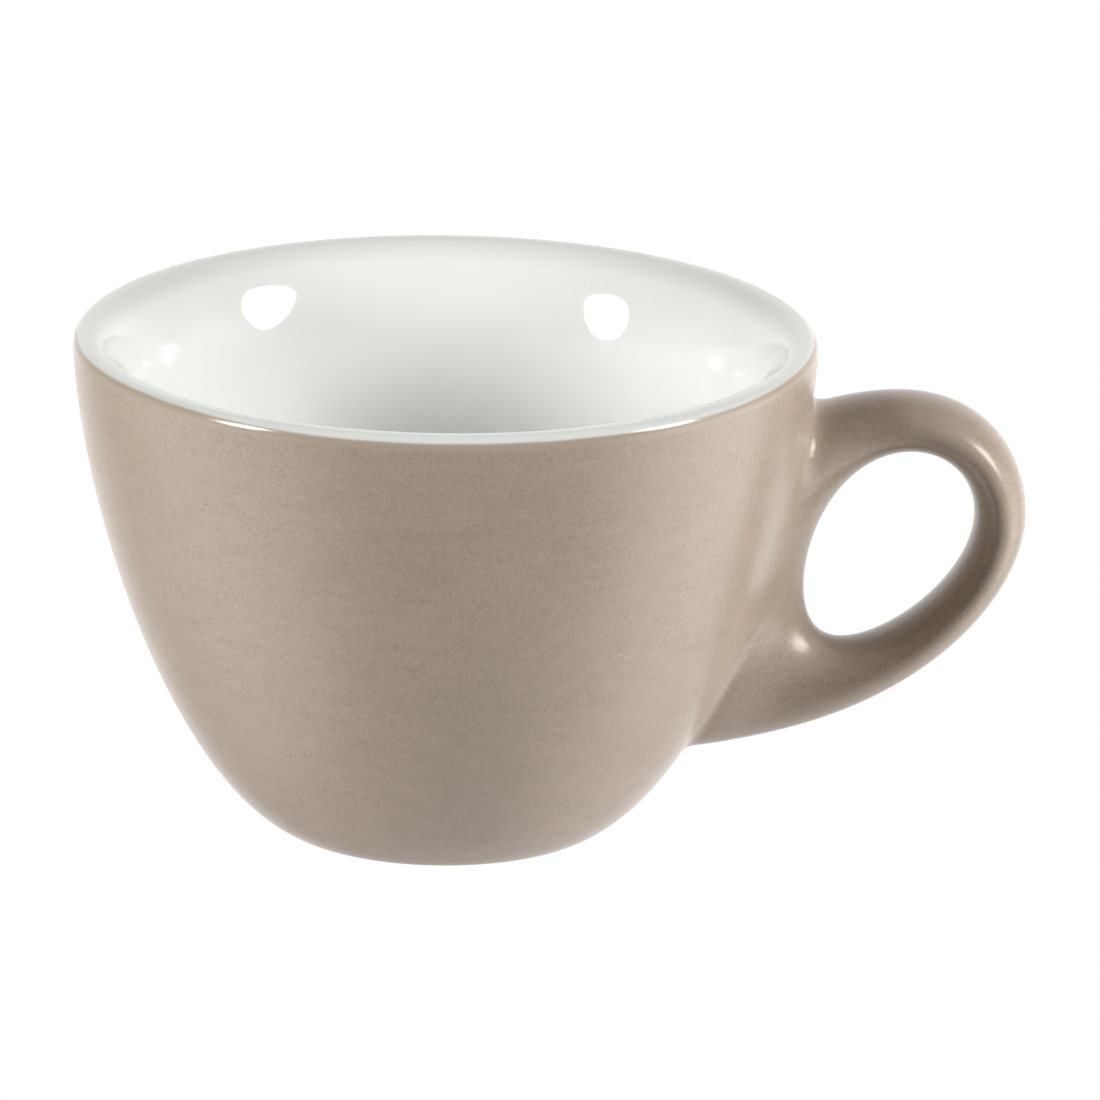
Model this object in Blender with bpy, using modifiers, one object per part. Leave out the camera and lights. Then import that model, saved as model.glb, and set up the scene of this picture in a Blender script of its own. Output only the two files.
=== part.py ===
"""Espresso cup: a turned porcelain bowl with a cast loop handle luted on, under fired glaze coats.

Metres, +Z up. The cup stands on its foot ring at z = 0 and the handle points along +X.
"""

import math

import bmesh
import bpy
import numpy as np

# Bowl, outside
RIM_RADIUS = 0.0350
HEIGHT = 0.0478
FOOT_RADIUS = 0.0154
FOOT_FLARE_DEG = 25.2
FOOT_SWEEP = 0.0108
LIP_LEAN_DEG = 2.9
LIP_SWEEP = 0.0169

# Lip, and the inside: a flare from the lip down to the throat, then the bowl down to its floor
LIP_OUTER_ROUND = 0.00105
LIP_TOP_WIDTH = 0.0014
FLARE_SWEEP_IN = 0.0020
FLARE_SWEEP_DOWN = 0.0041
THROAT_DROP = 0.0080
THROAT_WALL = 0.0059
THROAT_LEAN_DEG = 12.1
BOWL_SWEEP = 0.0169
FLOOR_THICKNESS = 0.0044
FLOOR_RADIUS = 0.0080
FLOOR_SWEEP = 0.0110

# Foot ring and the recess inside it
FOOT_RING_WIDTH = 0.0026
RECESS_DEPTH = 0.0016
RECESS_DRAFT = 0.0006

# Glaze coats and the luting slip, with the clearance between neighbouring pieces
GLAZE = 0.0005
SLIP = 0.0005
GAP = 0.0003
BARE_FOOT = 0.0009
LIP_GLAZE_SPLIT_DEG = 40.0

# Eye of the handle: an egg whose blunt end leans up and away from the wall
EYE_DROP = 0.0204
WEB = 0.0031
EYE_LONG_HALF = 0.0104
EYE_SHORT_HALF = 0.00675
EYE_TILT_DEG = 57.5
EYE_EGG = 0.16

# Outer edge of the handle: over the top from the wall to the tip, then under it back to the wall
HANDLE_DEPTH = 0.0102
TIP_LIMB = 0.00485
TIP_SWEEP_UP = 0.00815
TIP_SWEEP_DOWN = 0.00805
ROOT_BURY = 0.0040
UPPER_ROOT_RISE = 0.00175
UPPER_EDGE_DEG = 26.8
UPPER_EDGE_SWEEP = 0.0192
LOWER_ROOT_DROP = 0.01095
LOWER_EDGE_DEG = 2.6
LOWER_EDGE_SWEEP = 0.0253

# Facets
TURN_STEPS = 48
WALL_POINTS = 11
FLARE_POINTS = 6
ROUND_POINTS = 4
EDGE_POINTS = 14
CHORD_POINTS = 7
SECTION_POINTS = 16
CURVE_SAMPLES = 240
MERGE = 0.00001

# Finishes: colour, roughness, coat weight
PORCELAIN = ("bare_porcelain", (0.80, 0.77, 0.71), 0.60, 0.0)
LUTE = ("luting_slip", (0.76, 0.73, 0.67), 0.75, 0.0)
WHITE_GLAZE = ("white_gloss_glaze", (0.86, 0.87, 0.84), 0.06, 1.0)
TAUPE_GLAZE = ("taupe_satin_glaze", (0.39, 0.33, 0.28), 0.32, 0.3)


def direction(degrees):
    """Unit vector at an angle above the outward radius."""
    return np.array([math.cos(math.radians(degrees)), math.sin(math.radians(degrees))])


def bezier(corners, count, first=0.0, last=1.0):
    """Cubic Bezier as rows of position and of unit normal on the right of the way it runs."""
    t = np.linspace(first, last, count)[:, None]
    a, b, c, d = (np.array(corner) for corner in corners)
    point = (1 - t) ** 3 * a + 3 * (1 - t) ** 2 * t * b + 3 * (1 - t) * t ** 2 * c + t ** 3 * d
    along = (1 - t) ** 2 * (b - a) + 2 * (1 - t) * t * (c - b) + t ** 2 * (d - c)
    along /= np.linalg.norm(along, axis=1)[:, None]
    return np.hstack([point, along[:, 1:], -along[:, :1]])


def arc(centre, radius, start_deg, end_deg, count):
    """Round edge as rows of position and of unit normal away from its centre."""
    angle = np.radians(np.linspace(start_deg, end_deg, count))[:, None]
    normal = np.hstack([np.cos(angle), np.sin(angle)])
    return np.hstack([np.array(centre) + radius * normal, normal])


def inset(rows, depth):
    """Points of a skin line moved in from the glazed surface by a depth."""
    return rows[:, :2] - depth * rows[:, 2:]


# Glazed outside of the bowl, in the half plane of radius and height
SPLIT_HALF_GAP_DEG = math.degrees(GAP / LIP_OUTER_ROUND) / 2.0
LIP_CENTRE = (RIM_RADIUS - LIP_OUTER_ROUND, HEIGHT - LIP_OUTER_ROUND)
WALL_FOOT = np.array([FOOT_RADIUS, 0.0])
WALL_TOP = LIP_CENTRE + LIP_OUTER_ROUND * direction(-LIP_LEAN_DEG)
OUTER_WALL = (
    WALL_FOOT,
    WALL_FOOT + FOOT_SWEEP * direction(FOOT_FLARE_DEG),
    WALL_TOP - LIP_SWEEP * direction(90.0 - LIP_LEAN_DEG),
    WALL_TOP,
)


def wall_share(height):
    """Share of the way up the outer wall curve at which it reaches a height."""
    share = np.linspace(0.0, 1.0, CURVE_SAMPLES)
    return float(np.interp(height, bezier(OUTER_WALL, CURVE_SAMPLES)[:, 1], share))


def wall_radius(height):
    """Outer radius of the glazed wall at a height."""
    rows = bezier(OUTER_WALL, CURVE_SAMPLES)
    return float(np.interp(height, rows[:, 1], rows[:, 0]))


def wall_skin():
    """Outer wall from the top of the bare foot up to the lip."""
    return bezier(OUTER_WALL, WALL_POINTS, wall_share(BARE_FOOT), 1.0)


def lining_skin(start_deg):
    """Lip from an angle on its outer round, over the top and down the inside to the floor."""
    top = np.array([RIM_RADIUS - LIP_TOP_WIDTH, HEIGHT])
    throat_height = HEIGHT - THROAT_DROP
    throat = np.array([wall_radius(throat_height) - THROAT_WALL, throat_height])
    down = -direction(90.0 - THROAT_LEAN_DEG)
    floor = np.array([FLOOR_RADIUS, RECESS_DEPTH + FLOOR_THICKNESS])
    flare = (top, top - (FLARE_SWEEP_IN, 0.0), throat - FLARE_SWEEP_DOWN * down, throat)
    bowl = (throat, throat + BOWL_SWEEP * down, floor + (FLOOR_SWEEP, 0.0), floor)
    return np.vstack([
        arc(LIP_CENTRE, LIP_OUTER_ROUND, start_deg, 90.0, ROUND_POINTS),
        bezier(flare, FLARE_POINTS),
        bezier(bowl, WALL_POINTS)[1:],
        [[0.0, floor[1], 0.0, 1.0]],
    ])


def material(finish):
    """Principled material of one finish, made once."""
    name, colour, roughness, coat = finish
    found = bpy.data.materials.get(name)
    if found:
        return found
    made = bpy.data.materials.new(name)
    made.use_nodes = True
    shader = made.node_tree.nodes["Principled BSDF"]
    shader.inputs["Base Color"].default_value = (*colour, 1.0)
    shader.inputs["Roughness"].default_value = roughness
    shader.inputs["Coat Weight"].default_value = coat
    return made


def place(name, mesh, collection, carrier, finish=None):
    """Puts a mesh in the cup as a named object, or as a hidden cutter when it has no finish."""
    piece = bpy.data.objects.new(name, mesh)
    collection.objects.link(piece)
    piece.parent = carrier
    if finish:
        mesh.materials.append(material(finish))
    else:
        piece.hide_render = True
        piece.display_type = "WIRE"
    return piece


def turned(name, profile, closed, *where):
    """Solid turned about Z from a profile that runs down its outer side."""
    form = bmesh.new()
    ring = [form.verts.new((radius, 0.0, height)) for radius, height in profile]
    for upper, lower in zip(ring, ring[1:]):
        form.edges.new((upper, lower))
    if closed:
        form.edges.new((ring[-1], ring[0]))
    mesh = bpy.data.meshes.new(name)
    form.to_mesh(mesh)
    form.free()
    piece = place(name, mesh, *where)
    screw = piece.modifiers.new("Turn", "SCREW")
    screw.axis = "Z"
    screw.steps = TURN_STEPS
    screw.render_steps = TURN_STEPS
    screw.use_merge_vertices = True
    screw.merge_threshold = MERGE
    screw.use_smooth_shade = True
    return piece


def eye_egg():
    """Egg outline of the eye about its own centre."""
    turn = np.linspace(0.0, 2.0 * math.pi, CURVE_SAMPLES, endpoint=False)[:, None]
    long_way = EYE_LONG_HALF * np.cos(turn) * direction(EYE_TILT_DEG)
    short_way = EYE_SHORT_HALF * np.sin(turn) * (1.0 + EYE_EGG * np.cos(turn))
    return long_way + short_way * direction(EYE_TILT_DEG + 90.0)


def eye_centre():
    """Centre of the eye, out from the cup's axis and up, where the web is left beside the wall."""
    height = HEIGHT - EYE_DROP
    beside_wall = max(wall_radius(height + rise) - out for out, rise in eye_egg())
    return np.array([beside_wall + WEB, height])


def eye_outline():
    """Outline of the eye in the handle's plane."""
    return eye_centre() + eye_egg()


def handle_tip():
    """Outermost point of the handle, level with the far side of the eye."""
    eye = eye_outline()
    far = eye[eye[:, 0].argmax()]
    return far + np.array([TIP_LIMB, 0.0])


def handle_edge():
    """Outer edge of the handle, closed by a chord that lies inside the wall."""
    eye = eye_outline()
    tip = handle_tip()
    top_height = eye[:, 1].max() + UPPER_ROOT_RISE
    low_height = eye[:, 1].min() - LOWER_ROOT_DROP
    top_root = np.array([wall_radius(top_height) - ROOT_BURY, top_height])
    low_root = np.array([wall_radius(low_height) - ROOT_BURY, low_height])
    over = (
        top_root,
        top_root + UPPER_EDGE_SWEEP * direction(UPPER_EDGE_DEG),
        tip + TIP_SWEEP_UP * direction(90.0),
        tip,
    )
    under = (
        tip,
        tip - TIP_SWEEP_DOWN * direction(90.0),
        low_root + LOWER_EDGE_SWEEP * direction(LOWER_EDGE_DEG),
        low_root,
    )
    chord = np.linspace(low_root, top_root, CHORD_POINTS)[1:-1]
    return np.vstack([bezier(over, EDGE_POINTS)[:-1, :2], bezier(under, EDGE_POINTS)[:, :2], chord])


def loop_mesh(name, depth):
    """Oval sections lofted round the eye, set in from the glazed surface by a depth."""
    centre = eye_centre()
    eye = eye_outline() - centre
    eye_angle = np.arctan2(eye[:, 1], eye[:, 0])
    eye_reach = np.hypot(eye[:, 0], eye[:, 1])
    order = np.argsort(eye_angle)
    half_depth = HANDLE_DEPTH / 2.0 - depth
    form = bmesh.new()
    sections = []
    for outer in handle_edge() - centre:
        reach = np.hypot(*outer)
        angle = math.atan2(outer[1], outer[0])
        inner = np.interp(angle, eye_angle[order], eye_reach[order], period=2.0 * math.pi)
        half_width = (reach - inner) / 2.0 - depth
        section = []
        for step in range(SECTION_POINTS):
            turn = 2.0 * math.pi * step / SECTION_POINTS
            along = (reach + inner) / 2.0 + half_width * math.cos(turn)
            radius, height = centre + along * outer / reach
            section.append(form.verts.new((radius, half_depth * math.sin(turn), height)))
        sections.append(section)
    for this, following in zip(sections, sections[1:] + sections[:1]):
        for step in range(SECTION_POINTS):
            after = (step + 1) % SECTION_POINTS
            form.faces.new((this[step], this[after], following[after], following[step]))
    bmesh.ops.recalc_face_normals(form, faces=form.faces)
    mesh = bpy.data.meshes.new(name)
    form.to_mesh(mesh)
    form.free()
    mesh.shade_smooth()
    return mesh


def cut(piece, cutter, operation="DIFFERENCE"):
    """Exact Boolean of a piece with a cutter."""
    boolean = piece.modifiers.new("Cut", "BOOLEAN")
    boolean.operation = operation
    boolean.solver = "EXACT"
    boolean.object = cutter


def cup_body(*where):
    """Porcelain bowl: lined and coated wall, solid floor, and the bare ring that it stands on."""
    clay = GLAZE + GAP
    bare = bezier(OUTER_WALL, ROUND_POINTS, 0.0, wall_share(BARE_FOOT - GAP))
    coated = bezier(OUTER_WALL, WALL_POINTS, wall_share(BARE_FOOT - GAP), 1.0)
    recess_edge = FOOT_RADIUS - FOOT_RING_WIDTH
    profile = np.vstack([
        inset(lining_skin(0.0), clay)[::-1],
        inset(coated, clay)[::-1],
        bare[::-1, :2],
        [[recess_edge, 0.0], [recess_edge - RECESS_DRAFT, RECESS_DEPTH], [0.0, RECESS_DEPTH]],
    ])
    return turned("cup_body", profile, False, *where, PORCELAIN)


def inside_glaze(*where):
    """White lining of the bowl, carried over the lip to the split on its outer round."""
    skin = lining_skin(LIP_GLAZE_SPLIT_DEG + SPLIT_HALF_GAP_DEG)
    profile = np.vstack([skin[::-1, :2], inset(skin, GLAZE)])
    return turned("inside_glaze", profile, False, *where, WHITE_GLAZE)


def outside_glaze(*where):
    """Taupe coat of the wall, from the split on the lip down to the bare foot."""
    split_deg = LIP_GLAZE_SPLIT_DEG - SPLIT_HALF_GAP_DEG
    lip = arc(LIP_CENTRE, LIP_OUTER_ROUND, -LIP_LEAN_DEG, split_deg, ROUND_POINTS)
    skin = np.vstack([wall_skin(), lip[1:]])
    profile = np.vstack([skin[::-1, :2], inset(skin, GLAZE)])
    return turned("outside_glaze", profile, True, *where, TAUPE_GLAZE)


def base_glaze(*where):
    """Round patch of glaze on the ceiling of the recess, inside the wiped foot ring."""
    radius = FOOT_RADIUS - FOOT_RING_WIDTH - RECESS_DRAFT - GAP
    top = RECESS_DEPTH - GAP
    profile = [(0.0, top), (radius, top), (radius, top - GLAZE), (0.0, top - GLAZE)]
    return turned("base_glaze", profile, False, *where, TAUPE_GLAZE)


def wall_band(name, inner_depth, outer_depth, *where):
    """Turned layer between two depths below the glazed wall."""
    skin = wall_skin()
    profile = np.vstack([inset(skin, outer_depth)[::-1], inset(skin, inner_depth)])
    return turned(name, profile, True, *where)


def wall_plug(name, depth, *where):
    """Solid of the whole bowl out to a depth below its glazed wall, which trims what is luted on."""
    skin = inset(bezier(OUTER_WALL, WALL_POINTS), depth)
    profile = np.vstack([[[0.0, skin[-1, 1]]], skin[::-1], [[0.0, skin[0, 1]]]])
    return turned(name, profile, False, *where)


def main():
    """Builds the cup, centred on its box, with the cutters in a collection of their own."""
    for old in list(bpy.data.objects):
        bpy.data.objects.remove(old, do_unlink=True)
    pieces = bpy.data.collections.new("espresso_cup")
    cutters = bpy.data.collections.new("cutters")
    for collection in (pieces, cutters):
        bpy.context.scene.collection.children.link(collection)
    carrier = bpy.data.objects.new("cup_axis", None)
    pieces.objects.link(carrier)
    carrier.location.x = (RIM_RADIUS - handle_tip()[0]) / 2.0
    part = (pieces, carrier)
    tool = (cutters, carrier)

    clay = GLAZE + GAP
    slip_face = clay - GAP - SLIP
    loop_of_clay = place("loop_of_clay", loop_mesh("loop_of_clay", clay), *tool)
    loop_with_gap = place("loop_with_gap", loop_mesh("loop_with_gap", GLAZE), *tool)
    slip_plug = wall_plug("slip_plug", slip_face - GAP, *tool)
    coat_plug = wall_plug("coat_plug", -GAP, *tool)

    cup_body(*part)
    inside_glaze(*part)
    base_glaze(*part)

    wall_coat = outside_glaze(*part)
    cut(wall_coat, loop_with_gap)

    lute = wall_band("handle_slip", clay - GAP, slip_face, *part, LUTE)
    cut(lute, loop_of_clay, "INTERSECT")

    handle = place("handle", loop_mesh("handle", clay), *part, PORCELAIN)
    cut(handle, slip_plug)

    handle_coat = place("handle_glaze", loop_mesh("handle_glaze", 0.0), *part, TAUPE_GLAZE)
    cut(handle_coat, loop_with_gap)
    cut(handle_coat, coat_plug)


main()
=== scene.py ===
"""Espresso cup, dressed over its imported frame: taupe glazed bowl, white lining and loop handle.

Metres, in the row frame: +Z up, the handle towards +X, the foot ring on z = 0.
"""

import logging
import math
from dataclasses import dataclass
from enum import Enum

import bpy
import numpy as np
from mathutils import Matrix, Quaternion, Vector
from mathutils.kdtree import KDTree


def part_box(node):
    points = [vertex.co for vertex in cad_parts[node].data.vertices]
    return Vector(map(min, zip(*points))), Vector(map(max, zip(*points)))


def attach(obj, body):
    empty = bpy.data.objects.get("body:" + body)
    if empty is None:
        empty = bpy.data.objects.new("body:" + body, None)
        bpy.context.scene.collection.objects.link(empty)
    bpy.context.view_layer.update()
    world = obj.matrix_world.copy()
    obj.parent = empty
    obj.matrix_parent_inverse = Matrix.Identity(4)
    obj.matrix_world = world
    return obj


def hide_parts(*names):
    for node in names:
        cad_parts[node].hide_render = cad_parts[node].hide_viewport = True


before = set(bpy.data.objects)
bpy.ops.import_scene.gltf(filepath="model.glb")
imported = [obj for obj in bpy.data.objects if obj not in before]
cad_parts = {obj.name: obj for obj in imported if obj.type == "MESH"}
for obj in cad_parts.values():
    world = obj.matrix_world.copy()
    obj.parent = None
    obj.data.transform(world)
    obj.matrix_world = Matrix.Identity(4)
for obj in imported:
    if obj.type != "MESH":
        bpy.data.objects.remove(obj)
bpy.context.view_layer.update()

MM = 0.001
CERAMIC_IOR = 1.5
SEAM_WELD = 0.002 * MM
CREASE_DEG = 50.0
LOG = logging.getLogger("espresso_cup")


class Slot(Enum):
    """Material slots of the record."""

    PORCELAIN = "porcelain"
    SLIP = "slip"
    WHITE = "white_glaze"
    TAUPE = "taupe_glaze"


def linear(colour: str) -> tuple[float, float, float, float]:
    """Linear colour of an sRGB hex value.

    Args:
        colour: The colour as #RRGGBB.

    Returns:
        Red, green, blue and an alpha of 1.
    """
    parts = [int(colour[place:place + 2], 16) / 255.0 for place in (1, 3, 5)]
    bent = [part / 12.92 if part <= 0.04045 else ((part + 0.055) / 1.055) ** 2.4 for part in parts]
    return (bent[0], bent[1], bent[2], 1.0)


def per_metre(size_mm: float) -> float:
    """Texture scale whose features are about a size in millimetres."""
    return 1000.0 / size_mm


def add_node(
    tree: bpy.types.NodeTree, kind: str, inputs: dict | None = None, **settings
) -> bpy.types.Node:
    """Adds a node with its settings and links.

    Args:
        tree: The node tree that takes it.
        kind: Blender's name for the node.
        inputs: Values or output sockets by the name or number of the node's input.
        **settings: The node's own settings.

    Returns:
        The new node.
    """
    node = tree.nodes.new(kind)
    for name, value in settings.items():
        setattr(node, name, value)
    for name, value in (inputs or {}).items():
        if isinstance(value, bpy.types.NodeSocket):
            tree.links.new(value, node.inputs[name])
        else:
            node.inputs[name].default_value = value
    return node


def direction(degrees: float) -> np.ndarray:
    """Unit vector at an angle above the outward radius."""
    return np.array([math.cos(math.radians(degrees)), math.sin(math.radians(degrees))])


def bezier(corners: tuple, count: int, first: float = 0.0, last: float = 1.0) -> np.ndarray:
    """Cubic Bezier in the plane.

    Args:
        corners: The four control points.
        count: How many points it gets.
        first: Share of the way at which it starts.
        last: Share of the way at which it ends.

    Returns:
        Rows of position and of unit normal on the right of the way it runs.
    """
    t = np.linspace(first, last, count)[:, None]
    a, b, c, d = (np.array(corner) for corner in corners)
    point = (1 - t) ** 3 * a + 3 * (1 - t) ** 2 * t * b + 3 * (1 - t) * t ** 2 * c + t ** 3 * d
    along = (1 - t) ** 2 * (b - a) + 2 * (1 - t) * t * (c - b) + t ** 2 * (d - c)
    along /= np.linalg.norm(along, axis=1)[:, None]
    return np.hstack([point, along[:, 1:], -along[:, :1]])


def arc(
    centre: np.ndarray, radius: float, start_deg: float, end_deg: float, count: int
) -> np.ndarray:
    """Round edge in the plane.

    Args:
        centre: Its centre.
        radius: Its radius.
        start_deg: Angle at which it starts.
        end_deg: Angle at which it ends.
        count: How many points it gets.

    Returns:
        Rows of position and of unit normal away from the centre.
    """
    angle = np.radians(np.linspace(start_deg, end_deg, count))[:, None]
    normal = np.hstack([np.cos(angle), np.sin(angle)])
    return np.hstack([centre + radius * normal, normal])


def inset(rows: np.ndarray, depth: float) -> np.ndarray:
    """Points of a skin line moved in from the glazed surface by a depth."""
    return rows[:, :2] - depth * rows[:, 2:]


def edit(piece: bpy.types.Object) -> None:
    """Takes a piece alone into edit mode, with vertices as what is picked."""
    bpy.ops.object.select_all(action="DESELECT")
    piece.select_set(True)
    bpy.context.view_layer.objects.active = piece
    bpy.ops.object.mode_set(mode="EDIT")
    bpy.ops.mesh.select_mode(type="VERT")


def name_piece(name: str) -> bpy.types.Object:
    """Names the primitive that was just added, and its mesh."""
    piece = bpy.context.view_layer.objects.active
    piece.name = name
    piece.data.name = name
    return piece


def turned(name: str, profile: np.ndarray, axis_x: float, steps: int) -> bpy.types.Object:
    """Turns a closed form on the wheel: a vertex is extruded along its profile, which is then spun.

    Args:
        name: Name of the piece.
        profile: Rows of radius and height, from the axis back to the axis, or closed on itself.
        axis_x: Where the axis stands.
        steps: How many steps go round.

    Returns:
        The turned piece, smooth and with its faces outwards.
    """
    bpy.ops.object.select_all(action="DESELECT")
    bpy.ops.mesh.primitive_plane_add(size=MM, location=(0.0, 0.0, 0.0))
    piece = name_piece(name)
    edit(piece)
    bpy.ops.mesh.select_all(action="SELECT")
    bpy.ops.mesh.merge(type="CENTER")
    points = [Vector((axis_x + radius, 0.0, height)) for radius, height in profile]
    bpy.ops.transform.translate(value=points[0])
    for start, end in zip(points, points[1:]):
        bpy.ops.mesh.extrude_vertices_move(TRANSFORM_OT_translate={"value": end - start})
    bpy.ops.mesh.select_all(action="SELECT")
    bpy.ops.mesh.spin(
        steps=steps, angle=2.0 * math.pi, center=(axis_x, 0.0, 0.0), axis=(0.0, 0.0, 1.0)
    )
    bpy.ops.mesh.select_all(action="SELECT")
    bpy.ops.mesh.remove_doubles(threshold=SEAM_WELD)
    bpy.ops.mesh.normals_make_consistent(inside=False)
    bpy.ops.object.mode_set(mode="OBJECT")
    bpy.ops.object.shade_smooth_by_angle(angle=math.radians(CREASE_DEG))
    return piece


def new_material(name: str) -> tuple[bpy.types.Material, bpy.types.NodeTree, bpy.types.Node]:
    """Starts a node material.

    Args:
        name: The material's name.

    Returns:
        The material, its node tree and its Principled shader.
    """
    made = bpy.data.materials.new(name)
    made.use_nodes = True
    return made, made.node_tree, made.node_tree.nodes["Principled BSDF"]


@dataclass(frozen=True)
class TaupeGlaze:
    """Fired stoneware glaze, dipped: softly glossy, finely speckled, thin and olive at the lip."""

    lip_height: float
    ground: str = "#B0A091"
    shade: str = "#A09181"
    rosy: str = "#B29D90"
    lip_tint: str = "#AFA191"
    # the white above the glaze line, in the lining's greyer lip tone, which is painted shade
    over_white: str = "#DEDFDA"
    pit: str = "#5B4E42"
    fleck: str = "#D2C6B8"
    line_drop: float = 0.18 * MM
    sag: float = 0.36 * MM
    sag_way: tuple = (0.208, -0.978, 0.0)
    sag_span: tuple = (13.0 * MM, 33.0 * MM)
    wander_mm: float = 4.0
    wander_reach: float = 0.1 * MM
    lip_band: tuple = (1.1 * MM, 0.5 * MM)
    line_blur: tuple = (0.12 * MM, 0.14 * MM)
    grain_mm: float = 0.3
    drift_mm: float = 9.0
    drift_share: float = 0.3
    mottle_mm: float = 1.6
    streak_mm: float = 4.5
    streak_way: tuple = (1.0, 1.0, 5.0)
    streak_share: float = 0.26
    tone_range: tuple = (0.59, 0.97)
    blush_range: tuple = (0.45, 0.75)
    blush: float = 0.5
    pit_cell_mm: float = 5.5
    pit_radius_mm: float = 0.16
    fleck_cell_mm: float = 4.4
    fleck_radius_mm: float = 0.14
    spot_core: float = 0.4
    spot_depth: float = 0.75
    satin: float = 0.27
    gloss: float = 0.12
    ripple: float = 0.12
    ripple_depth: float = 0.02 * MM

    def material(self) -> bpy.types.Material:
        """Builds the glaze's node material."""
        made, tree, shader = new_material("fired_taupe_glaze")
        place = add_node(tree, "ShaderNodeTexCoord").outputs["Object"]

        # Pigment grains are about 0.1 mm across, drawn at 0.3 mm so that they show as speckle
        grain = add_node(
            tree, "ShaderNodeTexNoise",
            {
                "Vector": place, "Scale": per_metre(self.grain_mm),
                "Detail": 2.0, "Roughness": 0.6,
            },
        )
        # The melt pools a little, so its tone drifts over some millimetres
        drift = add_node(
            tree, "ShaderNodeTexNoise",
            {"Vector": place, "Scale": per_metre(self.drift_mm), "Detail": 3.0},
        )
        mottle = add_node(
            tree, "ShaderNodeTexNoise",
            {"Vector": place, "Scale": per_metre(self.mottle_mm), "Detail": 2.0},
        )
        # Turning in the dip leaves faint level streaks
        level_way = add_node(
            tree, "ShaderNodeVectorMath", {0: place, 1: self.streak_way}, operation="MULTIPLY"
        )
        streak = add_node(
            tree, "ShaderNodeTexNoise",
            {"Vector": level_way.outputs[0], "Scale": per_metre(self.streak_mm), "Detail": 2.0},
        )
        spread = add_node(
            tree, "ShaderNodeMath",
            {0: drift.outputs["Fac"], 1: self.drift_share, 2: grain.outputs["Fac"]},
            operation="MULTIPLY_ADD",
        )
        spread = add_node(
            tree, "ShaderNodeMath",
            {0: streak.outputs["Fac"], 1: self.streak_share, 2: spread.outputs[0]},
            operation="MULTIPLY_ADD",
        )
        tone = add_node(
            tree, "ShaderNodeMapRange",
            {
                "Value": spread.outputs[0],
                "From Min": self.tone_range[0], "From Max": self.tone_range[1],
            },
        )
        body = add_node(
            tree, "ShaderNodeMix",
            {"Factor": tone.outputs[0], "A": linear(self.shade), "B": linear(self.ground)},
            data_type="RGBA",
        )
        blush = add_node(
            tree, "ShaderNodeMapRange",
            {
                "Value": mottle.outputs["Fac"], "To Max": self.blush,
                "From Min": self.blush_range[0], "From Max": self.blush_range[1],
            },
        )
        body = add_node(
            tree, "ShaderNodeMix",
            {"Factor": blush.outputs[0], "A": body.outputs["Result"], "B": linear(self.rosy)},
            data_type="RGBA",
        )

        # A few burst bubbles leave dark pits, and undissolved grains leave pale flecks
        for colour, cell_mm, radius_mm in (
            (self.pit, self.pit_cell_mm, self.pit_radius_mm),
            (self.fleck, self.fleck_cell_mm, self.fleck_radius_mm),
        ):
            cells = add_node(
                tree, "ShaderNodeTexVoronoi", {"Vector": place, "Scale": per_metre(cell_mm)}
            )
            spot = add_node(
                tree, "ShaderNodeMapRange",
                {
                    "Value": cells.outputs["Distance"],
                    "From Min": self.spot_core * radius_mm / cell_mm,
                    "From Max": radius_mm / cell_mm,
                    "To Min": self.spot_depth, "To Max": 0.0,
                },
                interpolation_type="SMOOTHSTEP",
            )
            body = add_node(
                tree, "ShaderNodeMix",
                {"Factor": spot.outputs[0], "A": body.outputs["Result"], "B": linear(colour)},
                data_type="RGBA",
            )

        # The dipped edge sags a little at one side, and wanders
        wander = add_node(
            tree, "ShaderNodeTexNoise",
            {"Vector": place, "Scale": per_metre(self.wander_mm), "Detail": 2.0},
        )
        ahead = add_node(
            tree, "ShaderNodeVectorMath", {0: place, 1: self.sag_way}, operation="DOT_PRODUCT"
        )
        sag = add_node(
            tree, "ShaderNodeMapRange",
            {
                "Value": ahead.outputs["Value"], "To Max": self.sag,
                "From Min": self.sag_span[0], "From Max": self.sag_span[1],
            },
            interpolation_type="SMOOTHSTEP",
        )
        height = add_node(tree, "ShaderNodeSeparateXYZ", {0: place}).outputs["Z"]
        sagged = add_node(tree, "ShaderNodeMath", {0: height, 1: sag.outputs[0]}, operation="ADD")
        level = add_node(
            tree, "ShaderNodeMath",
            {0: wander.outputs["Fac"], 1: self.wander_reach, 2: sagged.outputs[0]},
            operation="MULTIPLY_ADD",
        )
        # Below its edge the melt is thin and a touch olive; above it the white glaze shows, in the
        # greyer tone the lining is given over the lip as painted shade
        line = self.lip_height - self.line_drop
        lip_tint = add_node(
            tree, "ShaderNodeMapRange",
            {
                "Value": level.outputs[0],
                "From Min": line - self.lip_band[0], "From Max": line - self.lip_band[1],
            },
            interpolation_type="SMOOTHSTEP",
        )
        edge = add_node(
            tree, "ShaderNodeMapRange",
            {
                "Value": level.outputs[0],
                "From Min": line - self.line_blur[0], "From Max": line + self.line_blur[1],
            },
            interpolation_type="SMOOTHSTEP",
        )
        body = add_node(
            tree, "ShaderNodeMix",
            {"Factor": lip_tint.outputs[0], "A": body.outputs["Result"], "B": linear(self.lip_tint)},
            data_type="RGBA",
        )
        body = add_node(
            tree, "ShaderNodeMix",
            {"Factor": edge.outputs[0], "A": body.outputs["Result"], "B": linear(self.over_white)},
            data_type="RGBA",
        )
        tree.links.new(body.outputs["Result"], shader.inputs["Base Color"])

        # The thin band fires to a full gloss, and the rest is a little softer
        gloss = add_node(
            tree, "ShaderNodeMapRange",
            {"Value": lip_tint.outputs[0], "To Min": self.satin, "To Max": self.gloss},
        )
        tree.links.new(gloss.outputs[0], shader.inputs["Roughness"])
        ripple = add_node(
            tree, "ShaderNodeBump",
            {
                "Height": mottle.outputs["Fac"],
                "Strength": self.ripple, "Distance": self.ripple_depth,
            },
        )
        tree.links.new(ripple.outputs[0], shader.inputs["Normal"])
        shader.inputs["IOR"].default_value = CERAMIC_IOR
        return made


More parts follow.
